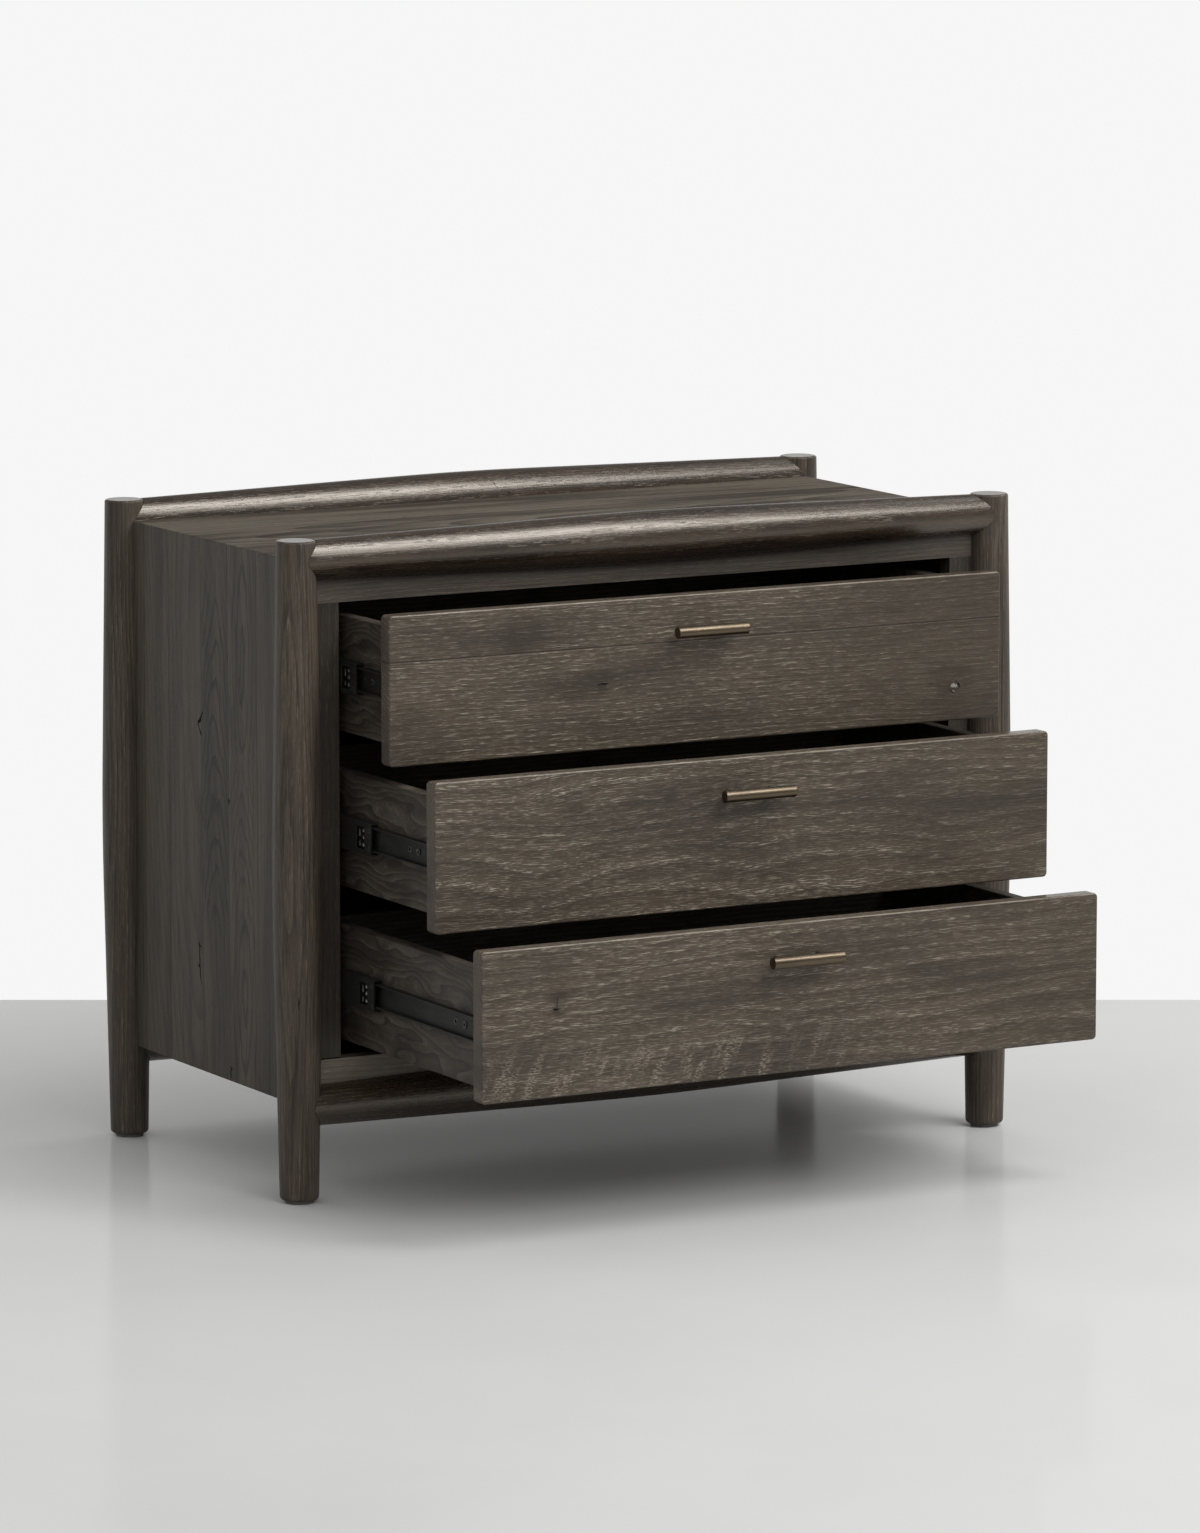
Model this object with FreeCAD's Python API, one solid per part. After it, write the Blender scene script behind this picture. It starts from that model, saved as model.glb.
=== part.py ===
import FreeCAD, Part
import os

V = FreeCAD.Vector

# Cabinet box: its long edges are the axes of the legs and rails
cabinet_width = 797.0
cabinet_depth = 385.0
cabinet_bottom = 96.0
cabinet_top = 639.5
panel_thickness = 20.0
panel_round = 1.5
back_thickness = 10.0
housing_depth = 1.0

# Face frame
face_thickness = 18.0
top_strip_height = 43.5
bottom_strip_height = 44.5
stile_width = 46.8
stile_shadow_gap = 1.5

# Turned legs, standing above the cabinet by the rise
leg_rise = 20.5
leg_foot_radius = 19.6
leg_belly_radius = 25.6
leg_top_radius = 19.8
leg_belly_height = 325.0
leg_top_round = 2.5
leg_foot_round = 4.0
belly_blend = 70.0

# Turned rails
rail_end_radius = 20.0
rail_belly_radius = 27.0
cope_gap = 0.3

# Dowels between rails and legs
dowel_radius = 5.0
dowel_length = 44.0
dowel_offset = 8.0
dowel_fit = 0.05

# Glides under the feet
glide_height = 3.0
glide_radius = 14.5
glide_round = 1.0
glide_stem_radius = 3.0
glide_stem_length = 16.0
glide_stem_fit = 0.05

# Drawers, top to bottom: how far each one and its intermediate slides stand open,
# and how much higher its box and slides sit behind the front than on the middle drawer
drawer_names = ("top", "middle", "bottom")
drawer_openings = (102.0, 195.5, 290.0)
intermediate_openings = (50.0, 80.0, 85.0)
box_lifts = (3.9, 0.0, -3.9)
drawer_gap = 2.4
drawer_back_clearance = 5.0
front_thickness = 18.0
front_corner_round = 4.5
front_round = 1.8
box_drop = 17.0
box_rise = 16.2
box_wall = 14.0
box_round = 1.5
base_thickness = 6.0
base_rise = 10.0
groove_depth = 6.0
groove_fit = 0.2

# Ball-bearing slides, in a space beside the drawer box
slide_space = 12.7
slide_setback = 2.0
slide_drop = 75.0
slide_sheet = 1.2
cabinet_member_height = 42.0
intermediate_member_height = 32.0
inner_member_height = 24.0
cabinet_member_lip = 2.0
intermediate_member_lip = 1.4
batten_height = 60.0

# Window in the web of an intermediate slide member, where its ball cage shows
window_inset = 13.0
window_length = 17.0
window_height = 22.0

# Ball cages
ball_play = 0.15
ball_pitch = 9.0
ball_count = 7
cage_sheet = 0.8
cage_gap = 0.4
outer_cage_inset = 15.0

# Slide screws
slide_screw_radius = 1.8
slide_screw_length = 11.0
slide_screw_head_radius = 3.4
slide_screw_head_height = 1.1
slide_screw_head_gap = 0.4
slide_screw_inset = 30.0
spare_hole_offset = 19.5
spare_hole_radius = 2.2
screw_hole_clearance = 0.25
pilot_fit = 0.05

# Bar pulls
pull_radius = 6.0
pull_length = 80.0
pull_round = 0.7
pull_standoff = 23.0
pull_drop = 34.0
post_radius = 3.0
post_spacing = 48.0
post_seat = 4.0
pull_screw_radius = 2.0
pull_screw_reach = 12.0
pull_screw_tip_gap = 1.0
pull_screw_head_radius = 4.2
pull_screw_head_height = 2.4

# Places worked out from the sizes above
side_x = cabinet_width / 2
face_y = -cabinet_depth / 2
back_y = cabinet_depth / 2
face_back_y = face_y + face_thickness
inner_side_x = side_x - panel_thickness
inner_bottom = cabinet_bottom + panel_thickness
inner_top = cabinet_top - panel_thickness
inner_back_y = back_y - back_thickness
opening_x = side_x - stile_width
opening_bottom = cabinet_bottom + bottom_strip_height
opening_top = cabinet_top - top_strip_height
leg_top = cabinet_top + leg_rise
stem_top = glide_height + glide_stem_length

# A drawer is drawn closed, with the lower edge of a middle drawer's front at height 0
drawer_count = len(drawer_names)
front_x = opening_x - drawer_gap
front_height = (opening_top - opening_bottom - (drawer_count + 1) * drawer_gap) / drawer_count
front_back_y = face_y + front_thickness
box_x = opening_x - slide_space
box_inner_x = box_x - box_wall
box_back_y = inner_back_y - drawer_back_clearance
box_top = front_height - box_drop
base_bottom = box_rise + base_rise
slide_z = front_height - slide_drop
slide_front_y = front_back_y + slide_setback
slide_back_y = box_back_y
drawer_levels = [
    opening_top - (index + 1) * (drawer_gap + front_height)
    for index in range(drawer_count)
]
box_levels = [level + lift for level, lift in zip(drawer_levels, box_lifts)]

# Slide members nest: each web and lip takes its place from the one outside it
cabinet_web_inner_x = opening_x - slide_sheet
intermediate_web_x = cabinet_web_inner_x - slide_screw_head_height - slide_screw_head_gap
cage_web_x = intermediate_web_x - slide_sheet - cage_gap
inner_lip_x = cage_web_x - cage_sheet - cage_gap
cabinet_lip_x = box_x + cabinet_member_lip
intermediate_lip_x = box_x + intermediate_member_lip
cage_length = ball_count * ball_pitch
screw_rows_y = (
    slide_front_y + slide_screw_inset,
    (slide_front_y + slide_back_y) / 2,
    slide_back_y - slide_screw_inset,
)

pull_y = face_y - pull_standoff
pull_z = front_height - pull_drop
pull_back_y = pull_y + pull_radius
post_xs = (-post_spacing / 2, post_spacing / 2)

corner_names = {
    (-1, -1): "front_left_leg",
    (1, -1): "front_right_leg",
    (-1, 1): "back_left_leg",
    (1, 1): "back_right_leg",
}
rail_names = {
    (-1, 1): "top_front_rail",
    (1, 1): "top_back_rail",
    (-1, -1): "bottom_front_rail",
    (1, -1): "bottom_back_rail",
}


def block(x0, x1, y0, y1, z0, z1):
    return Part.makeBox(x1 - x0, y1 - y0, z1 - z0, V(x0, y0, z0))


def rod(radius, start, end):
    line = end - start
    return Part.makeCylinder(radius, line.Length, start, line)


def line_edge(start, end):
    return Part.LineSegment(start, end).toShape()


def prism(points, y0, y1):
    outline = Part.makePolygon([V(x, y0, z) for x, z in points + points[:1]])
    return Part.Face(outline).extrude(V(0, y1 - y0, 0))


def both_sides(shapes):
    return shapes + [shape.mirror(V(0, 0, 0), V(1, 0, 0)) for shape in shapes]


def runs_along(edge, axis):
    line = edge.Vertexes[-1].Point - edge.Vertexes[0].Point
    return line.cross(axis).Length < 1e-6


def screw(radius, length, head_radius, head_height, seat, direction):
    shank = rod(radius, seat, seat + direction * length)
    head = rod(head_radius, seat - direction * head_height, seat)
    return head.fuse(shank).removeSplitter()


def taper_edges(low, belly, high):
    # Two straight tapers, given as (radius, height), that meet in a soft belly
    def before_belly(end):
        share = belly_blend / abs(belly[1] - end[1])
        return V(belly[0] + (end[0] - belly[0]) * share, 0, belly[1] + (end[1] - belly[1]) * share)

    lower = before_belly(low)
    upper = before_belly(high)
    crest = V(belly[0] / 2 + (lower.x + upper.x) / 4, 0, belly[1])
    return [
        line_edge(V(low[0], 0, low[1]), lower),
        Part.Arc(lower, crest, upper).toShape(),
        line_edge(upper, V(high[0], 0, high[1])),
    ]


def quarter_round(radius, height, size, up):
    # From the flat end at this height to the side at this radius, or back for a top end
    reach = size * 0.5 ** 0.5
    flat = V(radius - size, 0, height)
    side = V(radius, 0, height - up * size)
    middle = V(radius - size + reach, 0, height - up * (size - reach))
    ends = (side, middle, flat) if up > 0 else (flat, middle, side)
    return Part.Arc(*ends).toShape()


def turned(edges):
    # Closes an outline to the Z axis and turns it once round
    first = edges[0].Vertexes[0].Point
    last = edges[-1].Vertexes[-1].Point
    foot = V(0, 0, first.z)
    head = V(0, 0, last.z)
    outline = [line_edge(foot, first)] + edges + [line_edge(last, head), line_edge(head, foot)]
    return Part.Face(Part.Wire(outline)).revolve(V(0, 0, 0), V(0, 0, 1), 360)


def whole_leg():
    low = (leg_foot_radius, glide_height + leg_foot_round)
    high = (leg_top_radius, leg_top - leg_top_round)
    edges = [quarter_round(leg_foot_radius, glide_height, leg_foot_round, -1)]
    edges += taper_edges(low, (leg_belly_radius, leg_belly_height), high)
    edges += [quarter_round(leg_top_radius, leg_top, leg_top_round, 1)]
    return turned(edges)


def cope_cutter():
    # The leg's taper with the joint gap added, running on past the leg's top
    low = (leg_foot_radius + cope_gap, glide_height)
    belly = (leg_belly_radius + cope_gap, leg_belly_height)
    high = (leg_top_radius + cope_gap, leg_top)
    cutter = turned(taper_edges(low, belly, high))
    return cutter.fuse(rod(high[0], V(0, 0, leg_top), V(0, 0, leg_top + rail_belly_radius)))


def whole_rail():
    # Turned upright about its middle, then laid along X
    ends = ((rail_end_radius, -side_x), (rail_end_radius, side_x))
    rail = turned(taper_edges(ends[0], (rail_belly_radius, 0), ends[1]))
    rail.rotate(V(0, 0, 0), V(0, 1, 0), 90)
    return rail


def glide():
    edges = [
        quarter_round(glide_radius, 0, glide_round, -1),
        line_edge(V(glide_radius, 0, glide_round), V(glide_radius, 0, glide_height)),
        line_edge(V(glide_radius, 0, glide_height), V(glide_stem_radius, 0, glide_height)),
        line_edge(V(glide_stem_radius, 0, glide_height), V(glide_stem_radius, 0, stem_top)),
    ]
    return turned(edges)


def cabinet_shell(top):
    # Outside of the closed box up to a height, with the arrises along its sides eased
    shell = block(-side_x, side_x, face_y, back_y, cabinet_bottom, top)
    return shell.makeFillet(panel_round, [edge for edge in shell.Edges if runs_along(edge, V(0, 1, 0))])


def dowel(radius, x_side, y_side, z_side):
    y = y_side * (back_y + dowel_offset)
    z = cabinet_top + dowel_offset if z_side > 0 else cabinet_bottom - dowel_offset
    return rod(radius, V(x_side * (side_x - dowel_length), y, z), V(x_side * side_x, y, z))


def all_dowels(radius):
    return Part.makeCompound([
        dowel(radius, x_side, y_side, z_side)
        for x_side in (-1, 1)
        for y_side, z_side in rail_names
    ])


def legs_and_rails():
    # They wrap the box, and are let into its top by the housing depth
    shell = cabinet_shell(cabinet_top - housing_depth)
    parts = {"rail_dowels": all_dowels(dowel_radius)}
    dowel_holes = all_dowels(dowel_radius + dowel_fit)
    stem_hole = rod(glide_stem_radius + glide_stem_fit, V(0, 0, glide_height), V(0, 0, stem_top))
    corners = {
        name: V(x_side * side_x, y_side * back_y, 0)
        for (x_side, y_side), name in corner_names.items()
    }
    housed = []
    for name, corner in corners.items():
        leg = whole_leg().translated(corner).cut(shell)
        housed.append(leg)
        parts[name] = leg.cut(stem_hole.translated(corner)).cut(dowel_holes)
    copes = [cope_cutter().translated(corner) for corner in corners.values()]
    for (y_side, z_side), name in rail_names.items():
        place = V(0, y_side * back_y, cabinet_top if z_side > 0 else cabinet_bottom)
        rail = whole_rail().translated(place).cut(shell)
        housed.append(rail)
        parts[name] = rail.cut(copes).cut(dowel_holes)
    parts["leg_glides"] = Part.makeCompound([glide().translated(corner) for corner in corners.values()])
    return parts, housed


def panels(shell, housed):
    # Sides, top and bottom meet in mitres, and the legs and rails are let into them
    outer = [
        (-side_x, cabinet_bottom),
        (side_x, cabinet_bottom),
        (side_x, cabinet_top),
        (-side_x, cabinet_top),
    ]
    inner = [
        (-inner_side_x, inner_bottom),
        (inner_side_x, inner_bottom),
        (inner_side_x, inner_top),
        (-inner_side_x, inner_top),
    ]
    parts = {}
    for index, name in enumerate(("bottom_panel", "right_side_panel", "top_panel", "left_side_panel")):
        following = (index + 1) % len(outer)
        corners = [outer[index], outer[following], inner[following], inner[index]]
        parts[name] = prism(corners, face_back_y, back_y).common(shell).cut(housed)
    parts["back_panel"] = block(-inner_side_x, inner_side_x, inner_back_y, back_y, inner_bottom, inner_top)
    return parts


def face_frame(shell, housed):
    stile_bottom = opening_bottom + stile_shadow_gap
    stile = block(opening_x, side_x, face_y, face_back_y, stile_bottom, opening_top)
    left_stile, right_stile = both_sides([stile])[::-1]
    top_strip = block(-side_x, side_x, face_y, face_back_y, opening_top, cabinet_top)
    bottom_strip = block(-side_x, side_x, face_y, face_back_y, cabinet_bottom, opening_bottom)
    return {
        "face_top_strip": top_strip.common(shell).cut(housed),
        "face_bottom_strip": bottom_strip.common(shell),
        "left_stile": left_stile,
        "right_stile": right_stile,
    }


def channel(web_x, lip_x, height):
    # Slide member: a web at one side and a lip above and below
    inward = 1 if lip_x > web_x else -1
    floor_x = web_x + inward * slide_sheet
    half = height / 2
    outside = block(
        min(web_x, lip_x), max(web_x, lip_x), slide_front_y, slide_back_y, slide_z - half, slide_z + half)
    hollow = block(
        min(floor_x, lip_x), max(floor_x, lip_x), slide_front_y, slide_back_y,
        slide_z - half + slide_sheet, slide_z + half - slide_sheet)
    return outside.cut(hollow)


def slide_screw(seat_x, y, direction):
    return screw(
        slide_screw_radius, slide_screw_length, slide_screw_head_radius, slide_screw_head_height,
        V(seat_x, y, slide_z), V(direction, 0, 0))


def slide_hole(radius, x0, x1, y):
    return rod(radius, V(x0, y, slide_z), V(x1, y, slide_z))


def cabinet_slide():
    # Batten, cabinet member and its screws on the right-hand side
    screw_end_x = cabinet_web_inner_x + slide_screw_length
    batten = block(
        opening_x, inner_side_x, face_back_y, inner_back_y,
        slide_z - batten_height / 2, slide_z + batten_height / 2)
    member = channel(opening_x, cabinet_lip_x, cabinet_member_height)
    for y in screw_rows_y:
        batten = batten.cut(slide_hole(slide_screw_radius + pilot_fit, opening_x, screw_end_x, y))
        member = member.cut(
            slide_hole(slide_screw_radius + screw_hole_clearance, cabinet_web_inner_x, opening_x, y))
    screws = [slide_screw(cabinet_web_inner_x, y, 1) for y in screw_rows_y]
    return batten, member, screws


def cage_strip(x0, x1, y0, z, ball_x, ball_radius):
    # Thin strip that holds a row of balls
    strip = block(x0, x1, y0, y0 + cage_length, z - cage_sheet / 2, z + cage_sheet / 2)
    balls = [
        Part.makeSphere(ball_radius, V(ball_x, y0 + (index + 0.5) * ball_pitch, z))
        for index in range(ball_count)
    ]
    return strip.multiFuse(balls)


def race_middle(outside_height, inside_height):
    # Half height of a ball row and its ball radius, between two nested members
    outside = outside_height / 2 - slide_sheet
    inside = inside_height / 2
    return (outside + inside) / 2, (outside - inside) / 2 - ball_play


def ball_cages():
    # Inner cage: two strips on one web, at the front of the intermediate member
    row, radius = race_middle(intermediate_member_height, inner_member_height)
    ball_x = (intermediate_lip_x + inner_lip_x) / 2
    inner_cage = block(
        cage_web_x - cage_sheet, cage_web_x, slide_front_y, slide_front_y + cage_length,
        slide_z - row - cage_sheet / 2, slide_z + row + cage_sheet / 2)
    inner_cage = inner_cage.multiFuse([
        cage_strip(intermediate_lip_x + cage_gap, cage_web_x, slide_front_y, z, ball_x, radius)
        for z in (slide_z - row, slide_z + row)
    ]).removeSplitter()
    # Outer cage: a loose strip above and below, near the back
    row, radius = race_middle(cabinet_member_height, intermediate_member_height)
    ball_x = (cabinet_lip_x + intermediate_web_x) / 2
    outer_y = slide_back_y - outer_cage_inset - cage_length
    outer_cages = [
        cage_strip(cabinet_lip_x + cage_gap, intermediate_web_x, outer_y, z, ball_x, radius)
        for z in (slide_z - row, slide_z + row)
    ]
    return [inner_cage] + outer_cages


def inner_member():
    # Drawer member, with its screws and a spare hole near the front
    member = channel(box_x, inner_lip_x, inner_member_height)
    seat_x = box_x + slide_sheet
    rows = (screw_rows_y[0], screw_rows_y[-1])
    for y in rows:
        member = member.cut(slide_hole(slide_screw_radius + screw_hole_clearance, box_x, seat_x, y))
    member = member.cut(slide_hole(spare_hole_radius, box_x, seat_x, rows[0] + spare_hole_offset))
    screws = [slide_screw(seat_x, y, -1) for y in rows]
    pilots = [
        slide_hole(slide_screw_radius + pilot_fit, seat_x - slide_screw_length, box_x, y)
        for y in rows
    ]
    return member, screws, pilots


def drawer_box(pilots, front_bottom):
    # Front, sides and back, grooved for the base
    hole_z = front_bottom + pull_z
    groove = block(
        -box_inner_x - groove_depth, box_inner_x + groove_depth,
        front_back_y - groove_depth, box_back_y - box_wall + groove_depth,
        base_bottom, base_bottom + base_thickness + groove_fit)
    front = block(-front_x, front_x, face_y, front_back_y, front_bottom, front_bottom + front_height)
    corners = [edge for edge in front.Edges if runs_along(edge, V(0, 1, 0))]
    front = front.makeFillet(front_corner_round, corners)
    front = front.makeFillet(front_round, [edge for edge in front.Edges if not runs_along(edge, V(0, 1, 0))])
    for x in post_xs:
        clear = pull_screw_radius + screw_hole_clearance
        front = front.cut(rod(clear, V(x, face_y, hole_z), V(x, front_back_y, hole_z)))
    side = block(box_inner_x, box_x, front_back_y, box_back_y, box_rise, box_top)
    upper_edges = [
        edge for edge in side.Edges
        if runs_along(edge, V(0, 1, 0)) and edge.Vertexes[0].Z > slide_z
    ]
    side = side.makeFillet(box_round, upper_edges).cut(groove).cut(pilots)
    right_side, left_side = both_sides([side])
    back = block(-box_inner_x, box_inner_x, box_back_y - box_wall, box_back_y, box_rise, box_top)
    base = block(
        -box_inner_x - groove_depth + groove_fit, box_inner_x + groove_depth - groove_fit,
        front_back_y - groove_depth + groove_fit, box_back_y - box_wall + groove_depth - groove_fit,
        base_bottom, base_bottom + base_thickness)
    return {
        "drawer_front": front.cut(groove),
        "drawer_left_side": left_side,
        "drawer_right_side": right_side,
        "drawer_back": back.cut(groove),
        "drawer_base": base,
    }


def pull(front_bottom):
    # Bar on two posts, each held by a machine screw through the drawer front
    z = front_bottom + pull_z
    seat_y = pull_back_y - post_seat
    thread_y = face_y - pull_screw_reach
    bar = rod(pull_radius, V(-pull_length / 2, pull_y, z), V(pull_length / 2, pull_y, z))
    rims = [edge for edge in bar.Edges if edge.isClosed() and len(edge.Vertexes) == 1]
    bar = bar.makeFillet(pull_round, [rim for rim in rims if abs(rim.BoundBox.XLength) < pull_round])
    posts = []
    screws = []
    for x in post_xs:
        post = rod(post_radius, V(x, face_y, z), V(x, seat_y, z))
        bar = bar.cut(post)
        thread = rod(pull_screw_radius + pilot_fit, V(x, face_y, z), V(x, thread_y, z))
        posts.append(post.cut(thread))
        screws.append(screw(
            pull_screw_radius, front_thickness + pull_screw_reach - pull_screw_tip_gap,
            pull_screw_head_radius, pull_screw_head_height, V(x, front_back_y, z), V(0, -1, 0)))
    return {
        "pull_bar": bar,
        "pull_posts": Part.makeCompound(posts),
        "pull_screws": Part.makeCompound(screws),
    }


def drawer(front_bottom):
    member, screws, pilots = inner_member()
    parts = drawer_box(pilots, front_bottom)
    parts.update(pull(front_bottom))
    parts["inner_slide_members"] = Part.makeCompound(both_sides([member]))
    parts["slide_screws"] = Part.makeCompound(both_sides(screws))
    return parts


def intermediate_slides():
    member = channel(intermediate_web_x, intermediate_lip_x, intermediate_member_height)
    window_y = slide_front_y + window_inset
    window = block(
        intermediate_web_x - slide_sheet, intermediate_web_x, window_y, window_y + window_length,
        slide_z - window_height / 2, slide_z + window_height / 2)
    member = member.cut(window)
    return {
        "intermediate_slide_members": Part.makeCompound(both_sides([member])),
        "ball_cages": Part.makeCompound(both_sides(ball_cages())),
    }


def cabinet_slides():
    batten, member, screws = cabinet_slide()
    members = []
    all_screws = []
    left_battens = []
    right_battens = []
    for level in box_levels:
        lift = V(0, 0, level)
        right, left = both_sides([batten])
        right_battens.append(right.translated(lift))
        left_battens.append(left.translated(lift))
        members += [shape.translated(lift) for shape in both_sides([member])]
        all_screws += [shape.translated(lift) for shape in both_sides(screws)]
    return {
        "left_slide_battens": Part.makeCompound(left_battens),
        "right_slide_battens": Part.makeCompound(right_battens),
        "cabinet_slide_members": Part.makeCompound(members),
        "cabinet_slide_screws": Part.makeCompound(all_screws),
    }


def nightstand():
    shell = cabinet_shell(cabinet_top)
    parts, housed = legs_and_rails()
    parts.update(panels(shell, housed))
    parts.update(face_frame(shell, housed))
    parts.update(cabinet_slides())
    slide_pieces = intermediate_slides()
    places = zip(drawer_names, box_levels, box_lifts, drawer_openings, intermediate_openings)
    for name, level, box_lift, opening, intermediate_opening in places:
        for piece, shape in drawer(-box_lift).items():
            parts[name + "_" + piece] = shape.translated(V(0, -opening, level))
        for piece, shape in slide_pieces.items():
            parts[name + "_" + piece] = shape.translated(V(0, -intermediate_opening, level))
    return parts


os.makedirs("parts", exist_ok=True)
for node, shape in nightstand().items():
    shape.exportStep("parts/" + node + ".step")
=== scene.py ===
import math
import random
import bmesh
import bpy
from mathutils import Matrix, Vector
from mathutils.bvhtree import BVHTree


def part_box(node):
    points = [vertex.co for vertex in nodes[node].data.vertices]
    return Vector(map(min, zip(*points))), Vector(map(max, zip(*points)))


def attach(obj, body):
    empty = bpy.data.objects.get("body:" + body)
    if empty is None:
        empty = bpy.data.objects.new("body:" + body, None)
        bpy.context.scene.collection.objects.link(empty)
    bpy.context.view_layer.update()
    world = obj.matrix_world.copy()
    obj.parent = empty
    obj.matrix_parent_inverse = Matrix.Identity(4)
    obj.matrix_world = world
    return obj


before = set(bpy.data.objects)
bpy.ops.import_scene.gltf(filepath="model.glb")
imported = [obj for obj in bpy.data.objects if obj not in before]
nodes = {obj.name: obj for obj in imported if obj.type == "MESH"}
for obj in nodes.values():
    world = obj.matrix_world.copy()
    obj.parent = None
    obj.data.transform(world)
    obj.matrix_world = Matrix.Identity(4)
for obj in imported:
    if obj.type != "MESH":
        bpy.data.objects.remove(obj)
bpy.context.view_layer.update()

drawers = ("top", "middle", "bottom")
print("frame loaded:", len(nodes), "pieces")


# shader helpers

def newFinish(name):
    finish = bpy.data.materials.new(name)
    finish.use_nodes = True
    tree = finish.node_tree
    return finish, tree, tree.nodes["Principled BSDF"]


def feed(tree, socket, value):
    if isinstance(value, bpy.types.NodeSocket):
        tree.links.new(value, socket)
    else:
        socket.default_value = value


def addNode(tree, kind, feeds=(), **settings):
    made = tree.nodes.new(kind)
    for key, value in settings.items():
        setattr(made, key, value)
    for key, value in dict(feeds).items():
        feed(tree, made.inputs[key], value)
    return made


def sums(tree, operation, *values):
    return addNode(tree, "ShaderNodeMath", enumerate(values), operation=operation).outputs[0]


def joined(tree, operation, values):
    # one value from many: their sum, or the largest of them
    whole = values[0]
    for value in values[1:]:
        whole = sums(tree, operation, whole, value)
    return whole


def vectors(tree, operation, *values):
    made = addNode(tree, "ShaderNodeVectorMath", enumerate(values), operation=operation)
    return made.outputs["Value" if operation == "LENGTH" else "Vector"]


def fade(tree, value, start, end, low=0.0, high=1.0):
    feeds = {"Value": value, "From Min": start, "From Max": end, "To Min": low, "To Max": high}
    return addNode(tree, "ShaderNodeMapRange", feeds, interpolation_type="SMOOTHSTEP").outputs[0]


def blendTone(tree, amount, first, second, how="MIX"):
    made = addNode(tree, "ShaderNodeMix", data_type="RGBA", blend_type=how)
    feed(tree, made.inputs[0], amount)
    for socket, tone in ((made.inputs[6], first), (made.inputs[7], second)):
        feed(tree, socket, (*tone, 1.0) if isinstance(tone, tuple) else tone)
    return made.outputs[2]


def cloud(tree, space, size, detail=2.0, rough=0.5, shift=(0.0, 0.0, 0.0)):
    # noise whose cells have the given size in metres along each axis
    scale = tuple(1.0 / length for length in size)
    placed = addNode(tree, "ShaderNodeMapping", {"Vector": space, "Location": shift, "Scale": scale})
    feeds = {"Vector": placed.outputs[0], "Scale": 1.0, "Detail": detail, "Roughness": rough}
    return addNode(tree, "ShaderNodeTexNoise", feeds)


def bumpFrom(tree, shader, height, depth):
    made = addNode(tree, "ShaderNodeBump", {"Strength": 1.0, "Distance": depth, "Height": height})
    tree.links.new(made.outputs[0], shader.inputs["Normal"])


def objectSpace(tree):
    return addNode(tree, "ShaderNodeTexCoord").outputs["Object"]


def axesOf(tree, space):
    return addNode(tree, "ShaderNodeSeparateXYZ", {0: space}).outputs


def grainSpace(tree, order):
    # axes in the order along the grain, across it, into the board
    axes = dict(zip("xyz", axesOf(tree, objectSpace(tree))))
    u, v, w = (axes[letter] for letter in order)
    return addNode(tree, "ShaderNodeCombineXYZ", {0: u, 1: v, 2: w}).outputs[0], u, v


def longCloud(tree, space, size, **settings):
    # noise drawn out along the grain
    length, width = size
    return cloud(tree, space, (length, width, width), **settings)


# smoked, limed oak: one recipe, a dictionary of looks for each board

oakLooks = {
    "order": "xzy",
    "base": (0.059, 0.045, 0.031),     # between the pores
    "dark": (0.037, 0.029, 0.021),     # smoky patches
    "late": (0.031, 0.023, 0.017),     # dense ring edges
    "lime": (0.275, 0.238, 0.188),     # filler in the pores
    "limeAmount": 0.80,
    "ringLime": 0.06,
    "patchLime": 0.40,                 # share of the lime that shows in smoky patches
    "poreSize": (0.014, 0.0010),       # sizes are along the grain and across it
    "poreCut": (0.545, 0.665),         # cuts are where a noise begins to show and shows fully
    "poreFloor": 0.35,                 # share of the pores that stays between the rings
    "finePoreSize": (0.008, 0.0008),
    "finePoreCut": (0.58, 0.72),
    "finePoreAmount": 0.6,
    "finePoreShift": (3.1, 1.7, 0.4),
    "patchSize": (0.26, 0.045),
    "patchCut": (0.30, 0.62),
    "streakSize": (0.22, 0.0045),
    "streakCut": (0.56, 0.72),
    "streakAmount": 0.30,
    "streakShift": (0.7, 0.2, 0.9),
    "fibreSize": (0.09, 0.0014),
    "fibreCut": (0.25, 0.75),
    "fibreShade": (0.58, 1.36),
    "fibreAmount": 0.60,
    "wander": 0.006,
    "wanderSize": (0.22, 0.09),
    "pith": (0.10, -0.16, 0.06),
    "taper": 0.08,
    "ring": 0.0046,
    "earlyCut": (0.10, 0.55),
    "lateCut": (0.55, 0.98),
    "lateAmount": 0.40,
    "seams": (),                       # glue lines, by their place across the grain
    "seamAmount": 0.85,
    "seamWidth": (0.0004, 0.0012),     # half widths of its core and of its soft edge
    "boardSeed": 3.0,
    "boardSpread": (1.4, 0.11, 0.04),  # each glued board is cut from another place
    "knots": (),                       # along, across, half length, half height, depth of tone, bulge
    "knotTone": (0.022, 0.015, 0.010),
    "knotEdge": (0.10, 1.0),
    "knotRag": 0.45,
    "knotRagSize": (0.022, 0.012, 1.0),
    "knotRagCut": (0.2, 0.8),
    "bulgeReach": 2.2,                 # in half sizes of the knot
    "rough": (0.42, 0.58),
    "dullCut": (0.1, 0.8),
    "specular": 0.32,
    "sheen": (1.0, 1.0, 1.0),          # tint of the reflection
    "bump": 0.00035,
    "fibreRelief": 0.6,                # shares of the bump
    "poreRelief": 0.5,
    "seamRelief": 0.8,
    "capShare": 0.30,                  # of the roughness, on a flat top
    "capBand": (0.0016, 0.0002),       # depths below that top where the sanding starts and is full
}
noiseMean = (0.5, 0.5, 0.5)


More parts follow.
